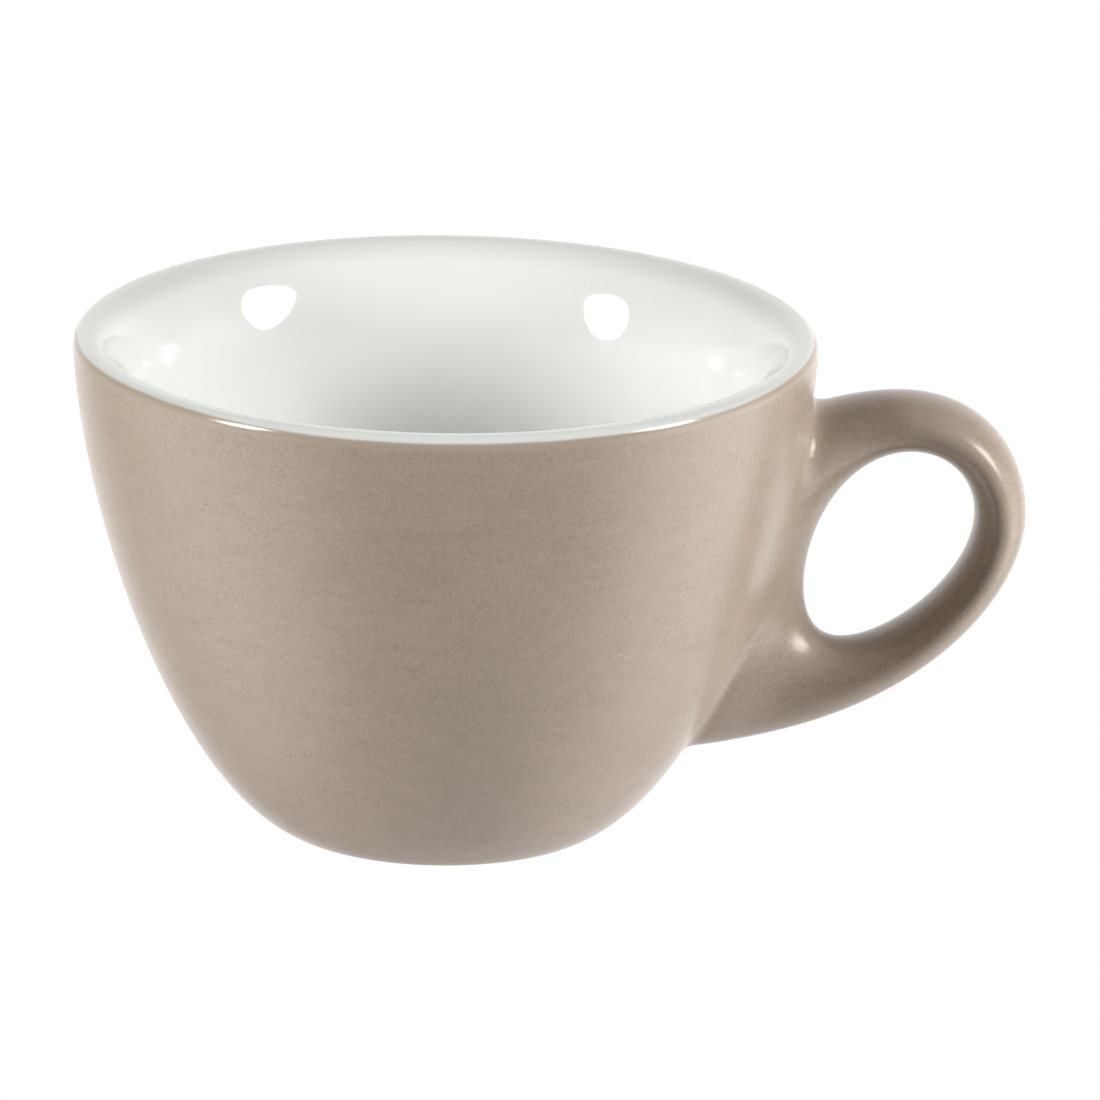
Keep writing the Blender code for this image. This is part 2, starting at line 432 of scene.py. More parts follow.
@dataclass(frozen=True)
class WhiteGlaze:
    """Clear gloss glaze over white porcelain: a hard wet shine with crisp reflections."""

    lip_height: float
    ground: str = "#EBECE7"
    cool: str = "#E6E8E3"
    speck: str = "#B9B7AE"
    # painted shade: the grey that the white is given over the top of the lip
    lip_shade_grey: str = "#DEDFDA"
    lip_band: tuple = (2.0 * MM, 0.4 * MM)
    drift_mm: float = 7.0
    speck_cell_mm: float = 8.0
    speck_range: tuple = (0.012, 0.035)
    speck_depth: float = 0.6
    wave_mm: float = 3.5
    ripple: float = 0.2
    ripple_depth: float = 0.02 * MM
    roughness: float = 0.03

    def material(self) -> bpy.types.Material:
        """Builds the glaze's node material."""
        made, tree, shader = new_material("gloss_white_glaze")
        place = add_node(tree, "ShaderNodeTexCoord").outputs["Object"]
        # Clear glaze pools over some millimetres, which turns the white a touch cooler
        drift = add_node(
            tree, "ShaderNodeTexNoise",
            {"Vector": place, "Scale": per_metre(self.drift_mm), "Detail": 2.0},
        )
        body = add_node(
            tree, "ShaderNodeMix",
            {"Factor": drift.outputs["Fac"], "A": linear(self.ground), "B": linear(self.cool)},
            data_type="RGBA",
        )
        # Iron specks in the clay show as rare grey dots
        cells = add_node(
            tree, "ShaderNodeTexVoronoi", {"Vector": place, "Scale": per_metre(self.speck_cell_mm)}
        )
        spot = add_node(
            tree, "ShaderNodeMapRange",
            {
                "Value": cells.outputs["Distance"],
                "From Min": self.speck_range[0], "From Max": self.speck_range[1],
                "To Min": self.speck_depth, "To Max": 0.0,
            },
            interpolation_type="SMOOTHSTEP",
        )
        body = add_node(
            tree, "ShaderNodeMix",
            {"Factor": spot.outputs[0], "A": body.outputs["Result"], "B": linear(self.speck)},
            data_type="RGBA",
        )
        # Painted shade: the white is made greyer towards and over the top of the lip, where the
        # up-facing lip turns to the dark overhead
        height = add_node(tree, "ShaderNodeSeparateXYZ", {0: place}).outputs["Z"]
        lip_tint = add_node(
            tree, "ShaderNodeMapRange",
            {
                "Value": height,
                "From Min": self.lip_height - self.lip_band[0],
                "From Max": self.lip_height - self.lip_band[1],
            },
            interpolation_type="SMOOTHSTEP",
        )
        body = add_node(
            tree, "ShaderNodeMix",
            {"Factor": lip_tint.outputs[0], "A": body.outputs["Result"], "B": linear(self.lip_shade_grey)},
            data_type="RGBA",
        )
        tree.links.new(body.outputs["Result"], shader.inputs["Base Color"])
        # A gloss melt is never quite level: waves a few millimetres long bend its reflections
        wave = add_node(
            tree, "ShaderNodeTexNoise",
            {"Vector": place, "Scale": per_metre(self.wave_mm), "Detail": 1.0},
        )
        ripple = add_node(
            tree, "ShaderNodeBump",
            {
                "Height": wave.outputs["Fac"],
                "Strength": self.ripple, "Distance": self.ripple_depth,
            },
        )
        tree.links.new(ripple.outputs[0], shader.inputs["Normal"])
        shader.inputs["Roughness"].default_value = self.roughness
        shader.inputs["IOR"].default_value = CERAMIC_IOR
        return made


@dataclass(frozen=True)
class BareClay:
    """Unglazed fired clay, wiped or sanded: cream, matt and finely grained."""

    name: str
    ground: str
    grit: str
    grit_mm: float
    tone_range: tuple = (0.35, 0.65)
    tooth: float = 0.3
    tooth_depth: float = 0.03 * MM
    roughness: float = 0.62

    def material(self) -> bpy.types.Material:
        """Builds the clay's node material."""
        made, tree, shader = new_material(self.name)
        place = add_node(tree, "ShaderNodeTexCoord").outputs["Object"]
        grain = add_node(
            tree, "ShaderNodeTexNoise",
            {"Vector": place, "Scale": per_metre(self.grit_mm), "Detail": 4.0},
        )
        tone = add_node(
            tree, "ShaderNodeMapRange",
            {
                "Value": grain.outputs["Fac"],
                "From Min": self.tone_range[0], "From Max": self.tone_range[1],
            },
        )
        body = add_node(
            tree, "ShaderNodeMix",
            {"Factor": tone.outputs[0], "A": linear(self.grit), "B": linear(self.ground)},
            data_type="RGBA",
        )
        tree.links.new(body.outputs["Result"], shader.inputs["Base Color"])
        tooth = add_node(
            tree, "ShaderNodeBump",
            {
                "Height": grain.outputs["Fac"],
                "Strength": self.tooth, "Distance": self.tooth_depth,
            },
        )
        tree.links.new(tooth.outputs[0], shader.inputs["Normal"])
        shader.inputs["Roughness"].default_value = self.roughness
        shader.inputs["IOR"].default_value = CERAMIC_IOR
        return made


def set_on_cup(
    piece: bpy.types.Object, finishes: dict[Slot, bpy.types.Material], slot: Slot, *nodes: str
) -> None:
    """Gives a piece its finish, and sets it on the cup in place of its solids.

    Args:
        piece: The finished mesh.
        finishes: The cup's materials by slot.
        slot: The slot whose finish the piece takes.
        *nodes: The solids that it stands for.
    """
    piece.data.materials.clear()
    piece.data.materials.append(finishes[slot])
    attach(piece, "root")
    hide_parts(*nodes)
    LOG.info("%s: %d faces", piece.name, len(piece.data.polygons))


@dataclass
class Bowl:
    """Turned bowl: clay body, white lining, taupe wall coat and the coat under the base."""

    axis_x: float
    rim_radius: float
    height: float
    foot_radius: float = 15.4 * MM
    foot_flare_deg: float = 25.2
    foot_sweep: float = 10.8 * MM
    lip_lean_deg: float = 2.9
    lip_sweep: float = 16.9 * MM
    lip_round: float = 1.05 * MM
    lip_top_width: float = 1.4 * MM
    flare_sweep_in: float = 2.0 * MM
    flare_sweep_down: float = 4.1 * MM
    throat_drop: float = 8.0 * MM
    throat_wall: float = 5.9 * MM
    throat_lean_deg: float = 12.1
    bowl_sweep: float = 16.9 * MM
    floor_thickness: float = 4.4 * MM
    floor_radius: float = 8.0 * MM
    floor_sweep: float = 11.0 * MM
    ring_width: float = 2.6 * MM
    recess_depth: float = 1.6 * MM
    recess_draft: float = 0.6 * MM
    glaze: float = 0.5 * MM
    gap: float = 0.3 * MM
    bare_foot: float = 0.3 * MM
    foot_step: float = 0.1 * MM
    ring_round: float = 0.4 * MM
    ring_draft_deg: float = 10.0
    base_bed: float = 0.02 * MM
    edge_round: float = 0.18 * MM
    split_deg: float = 56.0
    steps: int = 320
    trace_points: int = 600
    clay_points: int = 40
    coat_points: int = 90
    coat_lip_points: int = 12
    lining_lip_points: int = 10
    flare_points: int = 28
    bowl_points: int = 48
    edge_points: int = 8

    def wall_curve(self) -> tuple:
        """Control points of the glazed outer wall, from the foot to the lip."""
        foot = np.array([self.foot_radius, 0.0])
        top = self.lip_centre() + self.lip_round * direction(-self.lip_lean_deg)
        return (
            foot,
            foot + self.foot_sweep * direction(self.foot_flare_deg),
            top - self.lip_sweep * direction(90.0 - self.lip_lean_deg),
            top,
        )

    def lip_centre(self) -> np.ndarray:
        """Centre of the lip's outer round."""
        return np.array([self.rim_radius - self.lip_round, self.height - self.lip_round])

    def wall_radius(self, height: np.ndarray) -> np.ndarray:
        """Outer radius of the glazed wall at some heights."""
        rows = bezier(self.wall_curve(), self.trace_points)
        return np.interp(height, rows[:, 1], rows[:, 0])

    def wall_share(self, height: float) -> float:
        """Share of the way up the wall curve at which it reaches a height."""
        rows = bezier(self.wall_curve(), self.trace_points)
        return float(np.interp(height, rows[:, 1], np.linspace(0.0, 1.0, self.trace_points)))

    def lining_skin(self, start_deg: float) -> np.ndarray:
        """Lip from an angle on its outer round, over the top and down the inside to the axis."""
        top = np.array([self.rim_radius - self.lip_top_width, self.height])
        throat_height = self.height - self.throat_drop
        throat_radius = float(self.wall_radius(throat_height)) - self.throat_wall
        throat = np.array([throat_radius, throat_height])
        down = -direction(90.0 - self.throat_lean_deg)
        floor = np.array([self.floor_radius, self.recess_depth + self.floor_thickness])
        flare = (
            top,
            top - (self.flare_sweep_in, 0.0),
            throat - self.flare_sweep_down * down,
            throat,
        )
        bowl = (
            throat,
            throat + self.bowl_sweep * down,
            floor + (self.floor_sweep, 0.0),
            floor,
        )
        return np.vstack([
            arc(self.lip_centre(), self.lip_round, start_deg, 90.0, self.lining_lip_points),
            bezier(flare, self.flare_points),
            bezier(bowl, self.bowl_points)[1:],
            [[0.0, floor[1], 0.0, 1.0]],
        ])

    def build_body(self) -> bpy.types.Object:
        """Clay bowl, of which the rounded foot ring and the edge of the recess show."""
        clay = self.glaze + self.gap
        coat_start = self.wall_share(self.bare_foot)
        coated = bezier(self.wall_curve(), self.clay_points, coat_start, 1.0)
        inner = self.foot_radius - self.ring_width
        ceiling = inner - self.recess_draft
        edge, draft = self.ring_round, self.ring_draft_deg
        outer_centre = np.array([self.foot_radius - self.foot_step - edge, edge])
        inner_centre = np.array([inner + edge, edge])
        corner = np.array([ceiling - edge, self.recess_depth - edge])
        profile = np.vstack([
            inset(self.lining_skin(0.0), clay)[::-1],
            inset(coated, clay)[::-1],
            arc(outer_centre, edge, draft, -90.0, self.edge_points)[:, :2],
            arc(inner_centre, edge, 270.0, 180.0 + draft, self.edge_points)[:, :2],
            arc(corner, edge, -draft, 90.0, self.edge_points)[:, :2],
            [[0.0, self.recess_depth]],
        ])
        return turned("porcelain_body", profile, self.axis_x, self.steps)

    def build_lining(self) -> bpy.types.Object:
        """White lining, carried over the lip to the glaze line on its outer round."""
        skin = self.lining_skin(self.split_deg)
        profile = np.vstack([skin[::-1, :2], inset(skin, self.glaze)])
        return turned("white_lining", profile, self.axis_x, self.steps)

    def build_wall_coat(self) -> bpy.types.Object:
        """Taupe coat from the glaze line on the lip down to the bare foot."""
        lip = arc(
            self.lip_centre(), self.lip_round,
            -self.lip_lean_deg, self.split_deg, self.coat_lip_points,
        )
        coat_start = self.wall_share(self.bare_foot)
        wall = bezier(self.wall_curve(), self.coat_points, coat_start, 1.0)
        skin = np.vstack([wall, lip[1:]])
        profile = np.vstack([skin[::-1, :2], inset(skin, self.glaze), skin[-1:, :2]])
        return turned("taupe_wall_coat", profile, self.axis_x, self.steps)

    def build_base_coat(self) -> bpy.types.Object:
        """Round patch of glaze on the ceiling of the recess."""
        radius = self.foot_radius - self.ring_width - self.recess_draft - self.gap
        bed = self.recess_depth - self.base_bed
        low = self.recess_depth - self.gap - self.glaze
        rim = np.array([radius - self.edge_round, low + self.edge_round])
        profile = np.vstack([
            [[0.0, bed], [radius, bed]],
            arc(rim, self.edge_round, 0.0, -90.0, self.edge_points)[:, :2],
            [[0.0, low]],
        ])
        return turned("taupe_base_coat", profile, self.axis_x, self.steps)

    def dress(self, finishes: dict[Slot, bpy.types.Material]) -> None:
        """Builds the bowl's pieces and gives each its finish."""
        set_on_cup(self.build_body(), finishes, Slot.PORCELAIN, "cup_body")
        set_on_cup(self.build_lining(), finishes, Slot.WHITE, "inside_glaze")
        set_on_cup(self.build_wall_coat(), finishes, Slot.TAUPE, "outside_glaze")
        set_on_cup(self.build_base_coat(), finishes, Slot.TAUPE, "base_glaze")


@dataclass
class Handle:
    """Loop handle with an egg-shaped eye, its glaze run into the wall's in a soft fillet."""

    bowl: Bowl
    eye_drop: float = 20.4 * MM
    web: float = 3.1 * MM
    eye_long_half: float = 10.4 * MM
    eye_short_half: float = 6.75 * MM
    eye_tilt_deg: float = 57.5
    eye_egg: float = 0.16
    depth: float = 10.2 * MM
    tip_limb: float = 4.85 * MM
    tip_sweep_up: float = 8.15 * MM
    tip_sweep_down: float = 8.05 * MM
    root_bury: float = 4.0 * MM
    upper_root_rise: float = 1.75 * MM
    upper_edge_deg: float = 26.8
    upper_edge_sweep: float = 19.2 * MM
    lower_root_drop: float = 10.95 * MM
    lower_edge_deg: float = 2.6
    lower_edge_sweep: float = 25.3 * MM
    root_sweep: float = 9.0 * MM
    fillet_low: float = 1.0 * MM
    fillet_top: float = 2.4 * MM
    fillet_span: float = 34.0 * MM
    fillet_start: float = 7.0 * MM
    fillet_rows: int = 16
    fillet_slope: float = 0.05
    fillet_reach: float = 2.0
    run_over: float = 0.5
    run_round: float = 0.7
    run_shoulder: float = 0.6
    run_end: float = 1.6
    run_sink: float = 0.003 * MM
    evening: int = 12
    root_flare: float = 0.26
    flare_reach: float = 4.6 * MM
    web_flare: float = 0.2
    web_reach: float = 3.2 * MM
    web_span: float = 14.0 * MM
    web_drop: float = 1.5 * MM
    sections: int = 256
    section_points: int = 80
    over_points: int = 90
    under_points: int = 106
    eye_points: int = 720
    ring_radius: float = 10.0 * MM
    ring_section: float = 4.0 * MM
    trim_blur: float = 0.001 * MM
    weld: float = 0.02 * MM
    edge_weld: float = 0.1 * MM

    def eye(self) -> tuple[np.ndarray, np.ndarray]:
        """Centre of the eye, and its egg outline about that centre."""
        turn = np.linspace(0.0, 2.0 * math.pi, self.eye_points, endpoint=False)[:, None]
        egg = self.eye_long_half * np.cos(turn) * direction(self.eye_tilt_deg)
        short = self.eye_short_half * np.sin(turn) * (1.0 + self.eye_egg * np.cos(turn))
        egg = egg + short * direction(self.eye_tilt_deg + 90.0)
        height = self.bowl.height - self.eye_drop
        beside = np.max(self.bowl.wall_radius(height + egg[:, 1]) - egg[:, 0])
        return np.array([beside + self.web, height]), egg

    def edge(self) -> np.ndarray:
        """Outer edge of the handle in its plane, closed by a smooth curve inside the wall."""
        centre, egg = self.eye()
        eye = centre + egg
        tip = eye[eye[:, 0].argmax()] + (self.tip_limb, 0.0)
        top_height = eye[:, 1].max() + self.upper_root_rise
        low_height = eye[:, 1].min() - self.lower_root_drop
        top_radius, low_radius = self.bowl.wall_radius(np.array([top_height, low_height]))
        top_root = np.array([top_radius - self.root_bury, top_height])
        low_root = np.array([low_radius - self.root_bury, low_height])
        over = (
            top_root,
            top_root + self.upper_edge_sweep * direction(self.upper_edge_deg),
            tip + self.tip_sweep_up * direction(90.0),
            tip,
        )
        under = (
            tip,
            tip - self.tip_sweep_down * direction(90.0),
            low_root + self.lower_edge_sweep * direction(self.lower_edge_deg),
            low_root,
        )
        buried = (
            low_root,
            low_root - self.root_sweep * direction(self.lower_edge_deg),
            top_root - self.root_sweep * direction(self.upper_edge_deg),
            top_root,
        )
        buried_points = self.sections - self.over_points - self.under_points
        return np.vstack([
            bezier(over, self.over_points + 1)[:-1, :2],
            bezier(under, self.under_points)[:, :2],
            bezier(buried, buried_points + 2)[1:-1, :2],
        ])

    def loft(self) -> np.ndarray:
        """Points of the oval sections, section by section, in the row frame."""
        centre, egg = self.eye()
        outer = self.edge() - centre
        angle = np.arctan2(outer[:, 1], outer[:, 0])
        reach = np.hypot(outer[:, 0], outer[:, 1])
        egg_angle = np.arctan2(egg[:, 1], egg[:, 0])
        egg_reach = np.hypot(egg[:, 0], egg[:, 1])
        order = np.argsort(egg_angle)
        inner = np.interp(angle, egg_angle[order], egg_reach[order], period=2.0 * math.pi)
        turn = np.linspace(0.0, 2.0 * math.pi, self.section_points, endpoint=False)[None, :]
        middle, half = (reach + inner)[:, None] / 2.0, (reach - inner)[:, None] / 2.0
        along = middle + half * np.cos(turn)
        radius = centre[0] + along * (outer[:, 0] / reach)[:, None]
        height = centre[1] + along * (outer[:, 1] / reach)[:, None]
        aside = np.broadcast_to(self.depth / 2.0 * np.sin(turn), radius.shape)
        return np.stack([self.bowl.axis_x + radius, aside, height], axis=2).reshape(-1, 3)

    def unroll(self, points: np.ndarray) -> np.ndarray:
        """Lays the wall flat: way round it, distance out from it, and height."""
        out = points[:, 0] - self.bowl.axis_x
        radius = self.bowl.wall_radius(points[:, 2])
        way_round = np.arctan2(points[:, 1], out) * radius
        way_out = np.hypot(out, points[:, 1]) - radius
        return np.stack([way_round, way_out, points[:, 2]], axis=1)

    def roll(self, flat: np.ndarray) -> np.ndarray:
        """Wraps points that were laid flat back round the wall."""
        radius = self.bowl.wall_radius(flat[:, 2])
        turn = flat[:, 0] / radius
        reach = radius + flat[:, 1]
        ahead, aside = self.bowl.axis_x + reach * np.cos(turn), reach * np.sin(turn)
        return np.stack([ahead, aside, flat[:, 2]], axis=1)

    def fillet_lines(self, piece: bpy.types.Object) -> tuple[np.ndarray, np.ndarray]:
        """Lines along which the trimmed loop runs out onto the flat wall.

        Args:
            piece: The trimmed loop, laid flat, with its open edge selected.

        Returns:
            The edge's points, and for each row of the fillet the points that it moves to.
        """
        mesh = piece.data
        beside = {vert.index: [] for vert in mesh.vertices if vert.select}
        for first, second in (edge.vertices for edge in mesh.edges if edge.select):
            beside[first].append(second)
            beside[second].append(first)
        rim = [min(beside)]
        rim.append(beside[rim[0]][0])
        while len(rim) < len(beside):
            rim.append(next(index for index in beside[rim[-1]] if index != rim[-2]))
        start = np.array([mesh.vertices[index].co for index in rim])
        normal = np.array([mesh.vertices[index].normal for index in rim])
        for _ in range(self.evening):
            neighbours = np.roll(normal, 1, axis=0) + np.roll(normal, -1, axis=0)
            normal = (neighbours + 2.0 * normal) / 4.0
        normal /= np.linalg.norm(normal, axis=1)[:, None]
        along = np.roll(start, -1, axis=0) - np.roll(start, 1, axis=0)
        slope = np.cross(normal, along)
        slope /= np.linalg.norm(slope, axis=1)[:, None]
        slope *= -np.sign(slope[:, 1:2])
        away = normal * (1.0, 0.0, 1.0)
        away /= np.linalg.norm(away, axis=1)[:, None]
        drop = start[:, 1:2]
        way_down = drop / np.maximum(-slope[:, 1:2], self.fillet_slope)
        corner = start + slope * np.minimum(way_down, self.fillet_reach * drop)
        corner[:, 1] = 0.0
        # The coat runs out further round the sides of the root than over and under it
        run = away * drop * (self.run_over + self.run_round * away[:, :1] ** 2)
        shoulder, end = corner + self.run_shoulder * run, corner + self.run_end * run
        sink = np.array([0.0, self.run_sink, 0.0])
        rows = []
        for share in np.linspace(0.0, 1.0, self.fillet_rows + 1)[1:]:
            line = (1 - share) ** 3 * start + 3 * share * (1 - share) ** 2 * corner
            line = line + 3 * share ** 2 * (1 - share) * shoulder + share ** 3 * end
            rows.append(line - share * sink)
        return start, np.array(rows)

    def build(self) -> bpy.types.Object:
        """Coat of the handle: a loop trimmed off in front of the wall, then filleted onto it."""
        bpy.ops.object.select_all(action="DESELECT")
        bpy.ops.mesh.primitive_torus_add(
            major_segments=self.sections, minor_segments=self.section_points,
            major_radius=self.ring_radius, minor_radius=self.ring_section,
        )
        piece = name_piece("taupe_handle_coat")
        self.set_points(piece, self.unroll(self.loft()))
        edit(piece)
        bpy.ops.mesh.select_all(action="SELECT")
        bpy.ops.mesh.normals_make_consistent(inside=False)
        tilt = (self.fillet_top - self.fillet_low) / self.fillet_span
        bpy.ops.mesh.bisect(
            plane_co=(0.0, self.fillet_low, self.fillet_start),
            plane_no=Vector((0.0, 1.0, -tilt)).normalized(),
            clear_inner=True, threshold=self.trim_blur,
        )
        bpy.ops.mesh.select_all(action="SELECT")
        bpy.ops.mesh.remove_doubles(threshold=self.weld)
        self.select_open_edge()
        bpy.ops.mesh.remove_doubles(threshold=self.edge_weld)
        self.select_open_edge()
        bpy.ops.object.mode_set(mode="OBJECT")
        last, rows = self.fillet_lines(piece)
        for row in rows:
            bpy.ops.object.mode_set(mode="EDIT")
            bpy.ops.mesh.extrude_edges_move(TRANSFORM_OT_translate={"value": (0.0, 0.0, 0.0)})
            bpy.ops.object.mode_set(mode="OBJECT")
            finder = KDTree(len(last))
            for index, point in enumerate(last):
                finder.insert(point, index)
            finder.balance()
            for vert in piece.data.vertices:
                if vert.select:
                    vert.co = row[finder.find(vert.co)[1]]
            last = row
        flat = np.array([vert.co for vert in piece.data.vertices])
        # The roots flare onto the wall, and the web beside the eye runs out onto it as a wedge
        beside = (flat[:, 2] - self.eye()[0][1] + self.web_drop) / self.web_span
        flare = self.root_flare * np.exp(-((flat[:, 1] / self.flare_reach) ** 2))
        flare += self.web_flare * np.exp(-(beside ** 2) - (flat[:, 1] / self.web_reach) ** 2)
        flat[:, 0] *= 1.0 + flare
        self.set_points(piece, self.roll(flat))
        edit(piece)
        bpy.ops.mesh.select_all(action="SELECT")
        bpy.ops.mesh.normals_make_consistent(inside=False)
        bpy.ops.object.mode_set(mode="OBJECT")
        bpy.ops.object.shade_smooth()
        shell = piece.modifiers.new("Coat", "SOLIDIFY")
        shell.thickness = self.bowl.glaze
        shell.offset = -1.0
        bpy.ops.object.modifier_apply(modifier=shell.name)
        return piece

    def select_open_edge(self) -> None:
        """Selects the open edge of the mesh in edit mode."""
        bpy.ops.mesh.select_all(action="DESELECT")
        bpy.ops.mesh.select_non_manifold(
            extend=False, use_wire=False, use_boundary=True, use_multi_face=False,
            use_non_contiguous=False, use_verts=False,
        )

    def set_points(self, piece: bpy.types.Object, points: np.ndarray) -> None:
        """Moves every vertex of a piece to its place."""
        piece.data.vertices.foreach_set("co", points.astype(np.float32).ravel())
        piece.data.update()

    def dress(self, finishes: dict[Slot, bpy.types.Material]) -> None:
        """Builds the handle's coat, and gives it and the clay inside it their finishes."""
        set_on_cup(self.build(), finishes, Slot.TAUPE, "handle_glaze")
        for name, slot in (("handle", Slot.PORCELAIN), ("handle_slip", Slot.SLIP)):
            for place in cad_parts[name].material_slots:
                place.material = finishes[slot]
            LOG.info("%s: kept from the frame", name)


def toward(azimuth: float, elevation: float) -> Vector:
    """Unit vector from the cup, with its azimuth in degrees from the camera's side."""
    turn, rise = math.radians(azimuth), math.radians(elevation)
    level = math.cos(rise)
    return Vector((math.sin(turn) * level, -math.cos(turn) * level, math.sin(rise)))


@dataclass(frozen=True)
class Glow:
    """Soft patch of light on the white sweep round the cup, in degrees as the cup sees it."""

    azimuth: float
    elevation: float
    reach: float
    level: float


@dataclass(frozen=True)
class Softbox:
    """Lamp behind a cloth with broad shoulders and a narrow foot, in degrees as the cup sees it."""

    name: str
    azimuth: float
    elevation: float
    half_width: float
    rise: float
    drop: float
    radiance: float
    lean: float
    distance: float = 0.9
    aim_height: float = 40.0 * MM
    shoulder_bend: float = 0.8
    foot_bend: float = 1.03
    soft_edge: float = 0.16
    cloth_points: int = 64

    def build(self, axis_x: float) -> None:
        """Sets up the lamp that lights the cup, and the lit cloth that shines back in its glaze."""
        away = toward(self.azimuth, self.elevation)
        cloth = self.build_cloth()
        data = bpy.data.lights.new(self.name, "AREA")
        data.shape = "ELLIPSE"
        data.size, data.size_y = cloth.dimensions.x, cloth.dimensions.y
        data.energy = 4.0 * self.radiance * sum(face.area for face in cloth.data.polygons)
        lamp = bpy.data.objects.new(self.name, data)
        bpy.context.scene.collection.objects.link(lamp)
        for item in (cloth, lamp):
            item.location = Vector((axis_x, 0.0, self.aim_height)) + self.distance * away
            lean = Quaternion((0.0, 0.0, 1.0), math.radians(self.lean))
            item.rotation_euler = (away.to_track_quat("Z", "Y") @ lean).to_euler()
            item.visible_camera = False
        cloth.visible_diffuse = False
        cloth.visible_shadow = False
        lamp.visible_glossy = False

    def build_cloth(self) -> bpy.types.Object:
        """Flat lit front of the softbox, at the origin."""
        bpy.ops.object.select_all(action="DESELECT")
        bpy.ops.mesh.primitive_circle_add(
            vertices=self.cloth_points, radius=1.0, fill_type="TRIFAN"
        )
        cloth = name_piece(self.name + "_cloth")
        degree = self.distance * math.radians(1.0)
        lit = cloth.data.attributes.new("lit", "FLOAT", "POINT")
        for vert in cloth.data.vertices:
            across, up = vert.co.x, vert.co.y
            lit.data[vert.index].value = 1.0 - math.hypot(across, up)
            bend = self.shoulder_bend if up > 0.0 else self.foot_bend
            half_height = self.rise if up > 0.0 else self.drop
            vert.co.x = self.half_width * degree * math.copysign(abs(across) ** bend, across)
            vert.co.y = half_height * degree * math.copysign(abs(up) ** bend, up)
        cloth.data.update()
        made, tree, shader = new_material(self.name + "_cloth")
        inside = add_node(tree, "ShaderNodeAttribute", attribute_name="lit")
        strength = add_node(
            tree, "ShaderNodeMapRange",
            {"Value": inside.outputs["Fac"], "From Max": self.soft_edge, "To Max": self.radiance},
            interpolation_type="SMOOTHSTEP",
        )
        shine = add_node(tree, "ShaderNodeEmission", {"Strength": strength.outputs[0]})
        tree.links.new(shine.outputs[0], tree.nodes["Material Output"].inputs["Surface"])
        tree.nodes.remove(shader)
        cloth.data.materials.append(made)
        bpy.context.view_layer.update()
        return cloth


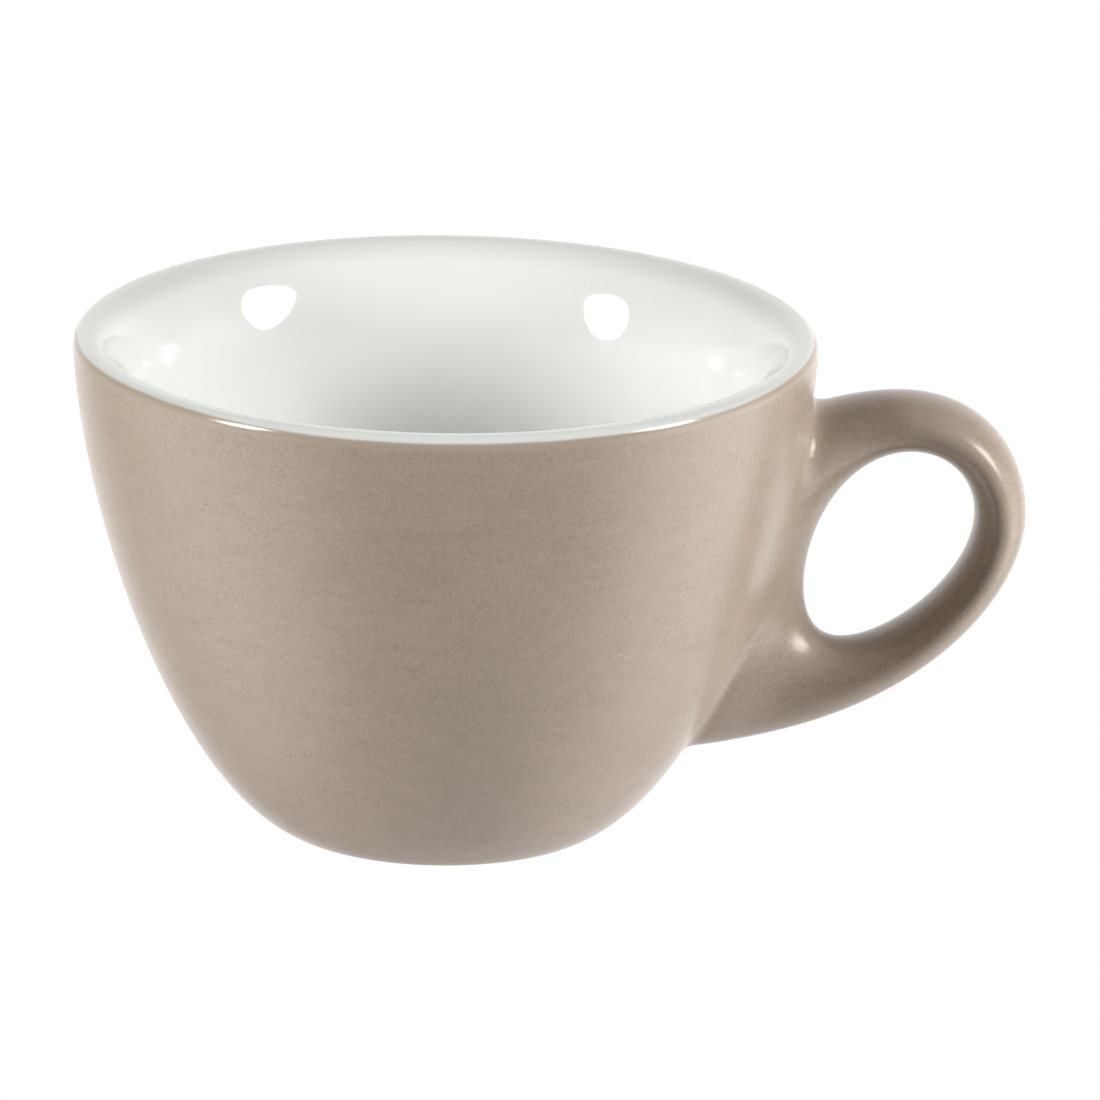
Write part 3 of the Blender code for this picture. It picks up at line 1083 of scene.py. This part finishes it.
@dataclass
class Studio:
    """White sweep, two softboxes at the sides and a long lens a little above the rim."""

    axis_x: float
    camera_place: tuple = (10.065 * MM, -835.256 * MM, 287.176 * MM)
    camera_pitch_deg: float = 17.3351
    camera_roll_deg: float = 0.8401
    lens_mm: float = 302.8
    sensor_mm: float = 36.0
    clip: tuple = (0.01, 20.0)
    floor_size: float = 6.0
    glows: tuple = (
        Glow(azimuth=135.0, elevation=-75.0, reach=120.0, level=0.66),
        Glow(azimuth=90.0, elevation=-15.0, reach=40.0, level=2.0),
        Glow(azimuth=90.0, elevation=-60.0, reach=60.0, level=0.58),
        Glow(azimuth=-75.0, elevation=-30.0, reach=40.0, level=1.4),
        Glow(azimuth=180.0, elevation=2.0, reach=55.0, level=1.3),
    )
    softboxes: tuple = (
        Softbox(
            "right_softbox", azimuth=74.5, elevation=27.0, half_width=11.6,
            rise=10.3, drop=16.4, radiance=15.8, lean=1.0,
        ),
        Softbox(
            "left_softbox", azimuth=-64.4, elevation=21.5, half_width=9.7,
            rise=12.8, drop=15.9, radiance=18.3, lean=4.0,
        ),
    )

    def build_camera(self) -> None:
        """Camera at the photograph's view."""
        data = bpy.data.cameras.new("camera")
        data.lens = self.lens_mm
        data.sensor_width = self.sensor_mm
        camera = bpy.data.objects.new("camera", data)
        bpy.context.scene.collection.objects.link(camera)
        pitch, roll = math.radians(self.camera_pitch_deg), math.radians(self.camera_roll_deg)
        ahead = Vector((0.0, math.cos(pitch), -math.sin(pitch)))
        right = Vector((1.0, 0.0, 0.0))
        up = right.cross(ahead)
        turned_right = math.cos(roll) * right + math.sin(roll) * up
        turned_up = -math.sin(roll) * right + math.cos(roll) * up
        turn = Matrix((turned_right, turned_up, -ahead)).transposed().to_4x4()
        place = Vector(self.camera_place) + Vector((self.axis_x, 0.0, 0.0))
        camera.matrix_world = Matrix.Translation(place) @ turn
        data.clip_start, data.clip_end = self.clip
        bpy.context.scene.camera = camera

    def build_world(self) -> None:
        """White sweep, dark ahead of the cup and overhead, with soft patches of light."""
        world = bpy.data.worlds.new("white_sweep")
        bpy.context.scene.world = world
        world.use_nodes = True
        tree = world.node_tree
        tree.nodes.clear()
        way = add_node(tree, "ShaderNodeTexCoord").outputs["Generated"]
        total = 0.0
        for glow in self.glows:
            middle = add_node(
                tree, "ShaderNodeVectorMath",
                {0: way, 1: toward(glow.azimuth, glow.elevation)}, operation="DOT_PRODUCT",
            )
            patch = add_node(
                tree, "ShaderNodeMapRange",
                {
                    "Value": middle.outputs["Value"],
                    "From Min": math.cos(math.radians(glow.reach)), "From Max": 1.0,
                },
                interpolation_type="SMOOTHSTEP",
            )
            total = add_node(
                tree, "ShaderNodeMath",
                {0: patch.outputs[0], 1: glow.level, 2: total}, operation="MULTIPLY_ADD",
            ).outputs[0]
        seen = add_node(tree, "ShaderNodeLightPath").outputs["Is Camera Ray"]
        mixed = add_node(
            tree, "ShaderNodeMix", {"Factor": seen, "A": total, "B": 1.0}, data_type="FLOAT"
        )
        shine = add_node(tree, "ShaderNodeBackground", {"Strength": mixed.outputs[0]})
        add_node(tree, "ShaderNodeOutputWorld", {"Surface": shine.outputs[0]})

    def build_floor(self) -> None:
        """Plain pale floor, lit evenly from below its surface as a light table is."""
        bpy.ops.object.select_all(action="DESELECT")
        bpy.ops.mesh.primitive_plane_add(size=self.floor_size, location=(0.0, 0.0, 0.0))
        floor = name_piece("floor")
        made, _, shader = new_material("light_table")
        shader.inputs["Base Color"].default_value = (0.0, 0.0, 0.0, 1.0)
        shader.inputs["Specular IOR Level"].default_value = 0.0
        shader.inputs["Emission Color"].default_value = (1.0, 1.0, 1.0, 1.0)
        shader.inputs["Emission Strength"].default_value = 1.0
        floor.data.materials.append(made)
        floor.visible_diffuse = False
        floor.visible_glossy = False
        floor.visible_shadow = False

    def build(self) -> None:
        """Camera, floor, world and softboxes."""
        bpy.context.scene.view_settings.view_transform = "Standard"
        self.build_camera()
        self.build_floor()
        self.build_world()
        for softbox in self.softboxes:
            softbox.build(self.axis_x)


def main() -> None:
    """Builds the cup and its studio."""
    logging.basicConfig(level=logging.INFO, format="%(message)s")
    low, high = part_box("outside_glaze")
    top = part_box("inside_glaze")[1].z
    bowl = Bowl(axis_x=(low.x + high.x) / 2.0, rim_radius=high.y, height=top)
    clay = BareClay(name="bare_fired_porcelain", ground="#DDD7CC", grit="#CBC3B5", grit_mm=0.25)
    lute = BareClay(name="fired_luting_slip", ground="#CFC8BC", grit="#BDB4A6", grit_mm=0.4)
    finishes = {
        Slot.TAUPE: TaupeGlaze(lip_height=top).material(),
        Slot.WHITE: WhiteGlaze(lip_height=top).material(),
        Slot.PORCELAIN: clay.material(),
        Slot.SLIP: lute.material(),
    }
    bowl.dress(finishes)
    Handle(bowl).dress(finishes)
    Studio(bowl.axis_x).build()


if __name__ == "__main__":
    main()
